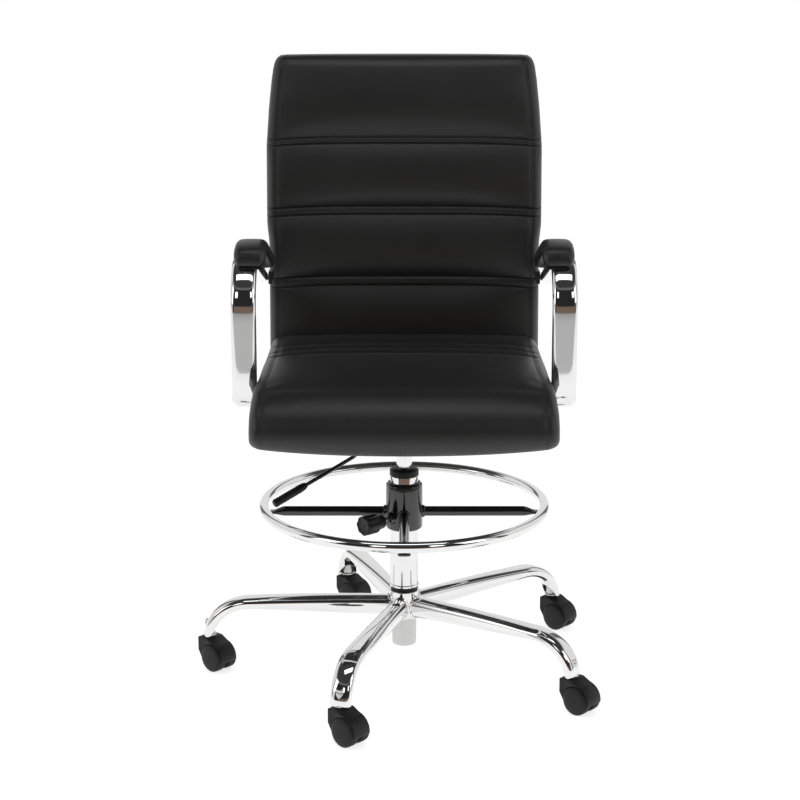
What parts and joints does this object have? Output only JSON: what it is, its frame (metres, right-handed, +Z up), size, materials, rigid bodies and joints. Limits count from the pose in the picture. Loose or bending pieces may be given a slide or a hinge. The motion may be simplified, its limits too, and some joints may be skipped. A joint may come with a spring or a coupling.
{
  "type": "drafting chair",
  "caption": "Drafting chair: padded ribbed seat and back, chrome arms, gas lift column, adjustable foot ring and star base on casters.",
  "frame": {"origin": "centre of the flat lower end of the gas column, on the column's axis, 44 mm above the floor", "axes": "+Z up along the column, -Y towards the front edge of the seat, +X to the right as seen from the front; the first leg points 17.3 degrees from -Y towards -X"},
  "size_m": [0.7109, 0.7397, 1.082],
  "materials": {
    "chrome": "polished chrome plate",
    "satin_steel": "satin steel",
    "spring_steel": "dark spring steel",
    "gloss_black_paint": "gloss black paint",
    "black_plastic": "black moulded plastic",
    "black_leather": "smooth black leather, semi-gloss",
    "plywood": "plain moulded plywood"
  },
  "bodies": {
    "base": {"base_hub": "chrome", "base_leg_1": "chrome", "base_leg_2": "chrome", "base_leg_3": "chrome", "base_leg_4": "chrome", "base_leg_5": "chrome", "column_tube": "chrome", "column_guide": "black_plastic"},
    "lift_rod": {"thrust_bearing": "satin_steel", "piston_rod": "satin_steel"},
    "lift": {"gas_cylinder": "satin_steel", "tilt_housing": "gloss_black_paint", "tilt_pin": "satin_steel", "tilt_spring": "spring_steel"},
    "release_pin": {"release_pin": "satin_steel"},
    "lever_cradle": {"lever_cradle": "satin_steel"},
    "lever": {"lever_rod": "gloss_black_paint", "lever_grip": "black_plastic"},
    "seat": {"tilt_plate": "gloss_black_paint", "seat_shell": "plywood", "back_cover": "black_leather", "seat_cushion": "black_leather", "back_cushion": "black_leather", "arm_left": "chrome", "arm_right": "chrome", "arm_pad_left": "black_leather", "arm_pad_right": "black_leather", "arm_bolt_left_seat": "chrome", "arm_bolt_left_back": "chrome", "arm_bolt_right_seat": "chrome", "arm_bolt_right_back": "chrome"},
    "ring_bush": {"ring_bush": "black_plastic"},
    "foot_ring": {"ring_clamp": "gloss_black_paint", "foot_ring": "chrome", "ring_spoke_front": "gloss_black_paint", "ring_spoke_right": "gloss_black_paint", "ring_spoke_back": "gloss_black_paint", "ring_spoke_left": "gloss_black_paint"},
    "clamp_stud": {"clamp_stud": "satin_steel"},
    "clamp_knob": {"clamp_knob": "black_plastic"},
    "caster_1": {"caster_hood_1": "black_plastic", "caster_stem_1": "satin_steel"},
    "wheel_1_left": {"wheel_1_left": "black_plastic"},
    "wheel_1_right": {"wheel_1_right": "black_plastic"},
    "caster_2": {"caster_hood_2": "black_plastic", "caster_stem_2": "satin_steel"},
    "wheel_2_left": {"wheel_2_left": "black_plastic"},
    "wheel_2_right": {"wheel_2_right": "black_plastic"},
    "caster_3": {"caster_hood_3": "black_plastic", "caster_stem_3": "satin_steel"},
    "wheel_3_left": {"wheel_3_left": "black_plastic"},
    "wheel_3_right": {"wheel_3_right": "black_plastic"},
    "caster_4": {"caster_hood_4": "black_plastic", "caster_stem_4": "satin_steel"},
    "wheel_4_left": {"wheel_4_left": "black_plastic"},
    "wheel_4_right": {"wheel_4_right": "black_plastic"},
    "caster_5": {"caster_hood_5": "black_plastic", "caster_stem_5": "satin_steel"},
    "wheel_5_left": {"wheel_5_left": "black_plastic"},
    "wheel_5_right": {"wheel_5_right": "black_plastic"}
  },
  "joints": [
    {"name": "seat_swivel", "type": "hinge", "parent": "base", "child": "lift_rod", "pos_m": [0, 0, 0], "axis": [0, 0, 1], "continuous": true},
    {"name": "seat_lift", "type": "slide", "parent": "lift_rod", "child": "lift", "axis": [0, 0, 1], "range_m": [-0.01, 0.11]},
    {"name": "seat_tilt", "type": "hinge", "parent": "lift", "child": "seat", "pos_m": [0, -0.045, 0.404], "axis": [-1, 0, 0], "range_deg": [0, 12], "stiffness_Nm_per_rad": 140, "springref_deg": -28.65},
    {"name": "lever_lift", "type": "hinge", "parent": "lift", "child": "lever_cradle", "pos_m": [-0.036, 0, 0.407], "axis": [0, 1, 0], "range_deg": [0, 5], "stiffness_Nm_per_rad": 6},
    {"name": "lever_pull", "type": "slide", "parent": "lever_cradle", "child": "lever", "axis": [-1, 0, 0], "range_m": [0, 0.012]},
    {"name": "release_pin_press", "type": "slide", "parent": "lift", "child": "release_pin", "axis": [0, 0, -1], "range_m": [0, 0.0031]},
    {"name": "ring_slide", "type": "slide", "parent": "base", "child": "ring_bush", "axis": [0, 0, 1], "range_m": [-0.1, 0.01]},
    {"name": "ring_turn", "type": "hinge", "parent": "ring_bush", "child": "foot_ring", "pos_m": [0, 0, 0.242], "axis": [0, 0, 1], "continuous": true},
    {"name": "clamp_stud_travel", "type": "slide", "parent": "foot_ring", "child": "clamp_stud", "axis": [-0.7193, -0.6947, 0], "range_m": [0, 0.00301]},
    {"name": "clamp_knob_turn", "type": "hinge", "parent": "clamp_stud", "child": "clamp_knob", "pos_m": [0, 0, 0.242], "axis": [-0.7193, -0.6947, 0], "range_deg": [0, 720]},
    {"name": "caster_1_swivel", "type": "hinge", "parent": "base", "child": "caster_1", "pos_m": [-0.10468, -0.33608, 0.017], "axis": [0, 0, 1], "continuous": true},
    {"name": "wheel_1_left_roll", "type": "hinge", "parent": "caster_1", "child": "wheel_1_left", "pos_m": [-0.08846, -0.35094, -0.019], "axis": [0.6756, 0.7373, 0], "continuous": true},
    {"name": "wheel_1_right_roll", "type": "hinge", "parent": "caster_1", "child": "wheel_1_right", "pos_m": [-0.08846, -0.35094, -0.019], "axis": [0.6756, 0.7373, 0], "continuous": true},
    {"name": "caster_2_swivel", "type": "hinge", "parent": "base", "child": "caster_2", "pos_m": [0.28728, -0.20341, 0.017], "axis": [0, 0, 1], "continuous": true},
    {"name": "wheel_2_left_roll", "type": "hinge", "parent": "caster_2", "child": "wheel_2_left", "pos_m": [0.3035, -0.21827, -0.019], "axis": [0.6756, 0.7373, 0], "continuous": true},
    {"name": "wheel_2_right_roll", "type": "hinge", "parent": "caster_2", "child": "wheel_2_right", "pos_m": [0.3035, -0.21827, -0.019], "axis": [0.6756, 0.7373, 0], "continuous": true},
    {"name": "caster_3_swivel", "type": "hinge", "parent": "base", "child": "caster_3", "pos_m": [0.28223, 0.21036, 0.017], "axis": [0, 0, 1], "continuous": true},
    {"name": "wheel_3_left_roll", "type": "hinge", "parent": "caster_3", "child": "wheel_3_left", "pos_m": [0.29845, 0.1955, -0.019], "axis": [0.6756, 0.7373, 0], "continuous": true},
    {"name": "wheel_3_right_roll", "type": "hinge", "parent": "caster_3", "child": "wheel_3_right", "pos_m": [0.29845, 0.1955, -0.019], "axis": [0.6756, 0.7373, 0], "continuous": true},
    {"name": "caster_4_swivel", "type": "hinge", "parent": "base", "child": "caster_4", "pos_m": [-0.11286, 0.33342, 0.017], "axis": [0, 0, 1], "continuous": true},
    {"name": "wheel_4_left_roll", "type": "hinge", "parent": "caster_4", "child": "wheel_4_left", "pos_m": [-0.09664, 0.31855, -0.019], "axis": [0.6756, 0.7373, 0], "continuous": true},
    {"name": "wheel_4_right_roll", "type": "hinge", "parent": "caster_4", "child": "wheel_4_right", "pos_m": [-0.09664, 0.31855, -0.019], "axis": [0.6756, 0.7373, 0], "continuous": true},
    {"name": "caster_5_swivel", "type": "hinge", "parent": "base", "child": "caster_5", "pos_m": [-0.35197, -0.0043, 0.017], "axis": [0, 0, 1], "continuous": true},
    {"name": "wheel_5_left_roll", "type": "hinge", "parent": "caster_5", "child": "wheel_5_left", "pos_m": [-0.33575, -0.01916, -0.019], "axis": [0.6756, 0.7373, 0], "continuous": true},
    {"name": "wheel_5_right_roll", "type": "hinge", "parent": "caster_5", "child": "wheel_5_right", "pos_m": [-0.33575, -0.01916, -0.019], "axis": [0.6756, 0.7373, 0], "continuous": true}
  ],
  "couplings": [
    {"joint": "release_pin_press", "follows": "lever_lift", "m_per_rad": 0.034377},
    {"joint": "clamp_stud_travel", "follows": "clamp_knob_turn", "m_per_rad": 0.00023873}
  ]
}
